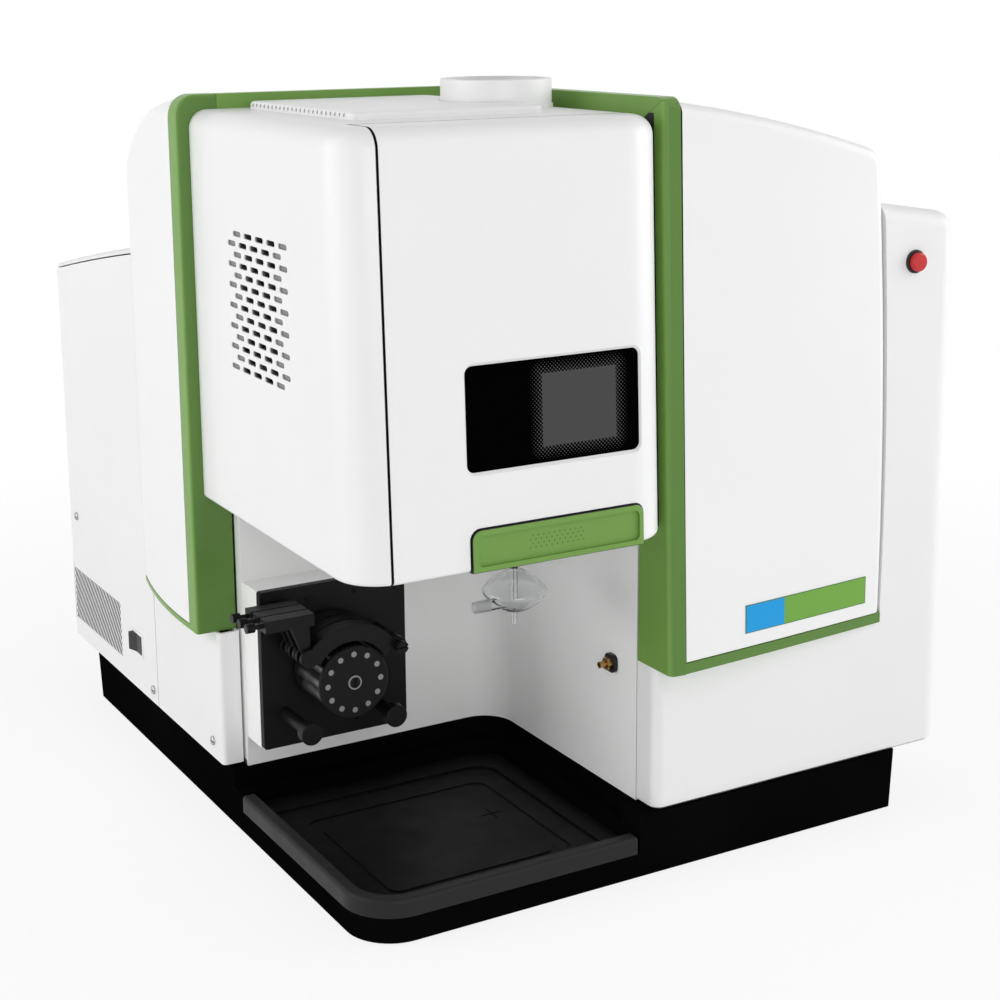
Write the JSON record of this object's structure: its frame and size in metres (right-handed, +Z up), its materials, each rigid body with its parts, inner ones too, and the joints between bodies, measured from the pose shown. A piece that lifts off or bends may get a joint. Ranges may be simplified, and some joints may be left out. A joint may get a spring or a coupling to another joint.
{
  "type": "inductively coupled plasma spectrometer",
  "caption": "Benchtop plasma emission spectrometer with a hinged torch box door, roller pump, sliding drip tray, glass spray chamber and exhaust collar.",
  "frame": {"origin": "middle of the footprint, on the bench surface that the feet stand on", "axes": "+X to the right seen from the front, +Y from the front to the back, +Z up"},
  "size_m": [0.6882, 0.85, 0.747],
  "materials": {
    "white_panel": "satin white powder coat",
    "white_shell": "satin white moulding",
    "green_trim": "satin green moulding",
    "black_base": "fine textured black",
    "bay_wall": "light grey moulding",
    "foot_rubber": "matt",
    "sheet_steel": "zinc plated",
    "pin_steel": "ground",
    "dark_glass": "dark filter glass",
    "clear_glass": "clear blown glass",
    "ceramic": "machined insulating block",
    "plate_aluminium": "bead blasted",
    "module_paint": "grey enamel",
    "mirror_face": "polished front face",
    "pump_black": "satin black",
    "motor_steel": "dull grey",
    "brass_fitting": "turned",
    "black_plastic": "satin black",
    "button_ring": "satin black ring",
    "red_button": "gloss red"
  },
  "bodies": {
    "housing": {"arch_left_leg": "green_trim", "arch_right_leg": "green_trim", "arch_top_band": "green_trim", "base_plinth": "black_base", "chassis_frame": "sheet_steel", "collimating_mirror": "mirror_face", "detector_module": "module_paint", "door_hinge_pins": "pin_steel", "echelle_grating": "plate_aluminium", "exhaust_collar": "white_shell", "exhaust_plenum": "sheet_steel", "fan_frame": "black_plastic", "gas_flow_module": "module_paint", "gas_inlets": "brass_fitting", "gas_port_fitting": "brass_fitting", "gas_port_surround": "black_plastic", "induction_plates": "plate_aluminium", "injector_tube": "ceramic", "left_side_panel": "white_panel", "left_wing_cover": "white_shell", "levelling_feet": "foot_rubber", "lower_left_cover": "white_panel", "mains_inlet": "black_plastic", "optics_housing": "plate_aluminium", "power_supply": "module_paint", "pump_bracket": "bay_wall", "pump_motor": "motor_steel", "pump_pivot_rod": "pump_black", "pump_plate": "pump_black", "pump_posts": "pump_black", "quarter_turn_screws": "pin_steel", "quartz_torch": "clear_glass", "rear_panel": "white_panel", "rf_generator": "module_paint", "right_front_panel": "white_panel", "right_side_panel": "white_panel", "right_wing_cover": "white_shell", "roof_vent_plate": "white_shell", "sample_bay_liner": "bay_wall", "spray_chamber": "clear_glass", "stop_button_bezel": "button_ring", "switch_bezel": "white_shell", "top_cover": "white_panel", "torch_box_shell": "white_shell", "torch_mount": "ceramic"},
    "door": {"torch_door": "white_shell", "door_window": "dark_glass", "door_pull": "green_trim"},
    "tray": {"drip_tray": "black_base"},
    "roller_head": {"pump_rotor": "pump_black", "pump_rollers": "pin_steel"},
    "fan": {"fan_rotor": "black_plastic"},
    "rocker": {"main_switch": "black_plastic"},
    "button": {"stop_button": "red_button"},
    "arm_1": {"pressure_arm_1": "pump_black"},
    "lever_1": {"tension_lever_1": "pump_black"},
    "arm_2": {"pressure_arm_2": "pump_black"},
    "lever_2": {"tension_lever_2": "pump_black"},
    "arm_3": {"pressure_arm_3": "pump_black"},
    "lever_3": {"tension_lever_3": "pump_black"}
  },
  "joints": [
    {"name": "door_hinge", "type": "hinge", "parent": "housing", "child": "door", "pos_m": [-0.2905, -0.41601, 0.34475], "axis": [0, -0.0384, -0.9993], "range_deg": [0, 90]},
    {"name": "tray_slide", "type": "slide", "parent": "housing", "child": "tray", "axis": [0, -1, 0], "range_m": [0, 0.2]},
    {"name": "stop_button_press", "type": "slide", "parent": "housing", "child": "button", "axis": [0, 1, 0], "range_m": [0, 0.004], "stiffness_N_per_m": 500, "springref_m": -0.002},
    {"name": "switch_rocker", "type": "hinge", "parent": "housing", "child": "rocker", "pos_m": [-0.323, 0.171, 0.122], "axis": [0, 0, -1], "range_deg": [0, 12]},
    {"name": "roller_head_spin", "type": "hinge", "parent": "housing", "child": "roller_head", "pos_m": [-0.2316, -0.156, 0.1742], "axis": [0, 1, 0], "continuous": true},
    {"name": "fan_spin", "type": "hinge", "parent": "housing", "child": "fan", "pos_m": [-0.31, 0.314, 0.135], "axis": [1, 0, 0], "continuous": true},
    {"name": "arm_1_lift", "type": "hinge", "parent": "housing", "child": "arm_1", "pos_m": [-0.1806, -0.17925, 0.2012], "axis": [0, 1, 0], "range_deg": [0, 40]},
    {"name": "lever_1_tilt", "type": "hinge", "parent": "arm_1", "child": "lever_1", "pos_m": [-0.2756, -0.17925, 0.2038], "axis": [0, -1, 0], "range_deg": [0, 40]},
    {"name": "arm_2_lift", "type": "hinge", "parent": "housing", "child": "arm_2", "pos_m": [-0.1806, -0.16175, 0.2012], "axis": [0, 1, 0], "range_deg": [0, 40]},
    {"name": "lever_2_tilt", "type": "hinge", "parent": "arm_2", "child": "lever_2", "pos_m": [-0.2756, -0.16175, 0.2038], "axis": [0, -1, 0], "range_deg": [0, 40]},
    {"name": "arm_3_lift", "type": "hinge", "parent": "housing", "child": "arm_3", "pos_m": [-0.1806, -0.14425, 0.2012], "axis": [0, 1, 0], "range_deg": [0, 40]},
    {"name": "lever_3_tilt", "type": "hinge", "parent": "arm_3", "child": "lever_3", "pos_m": [-0.2756, -0.14425, 0.2038], "axis": [0, -1, 0], "range_deg": [0, 40]}
  ]
}
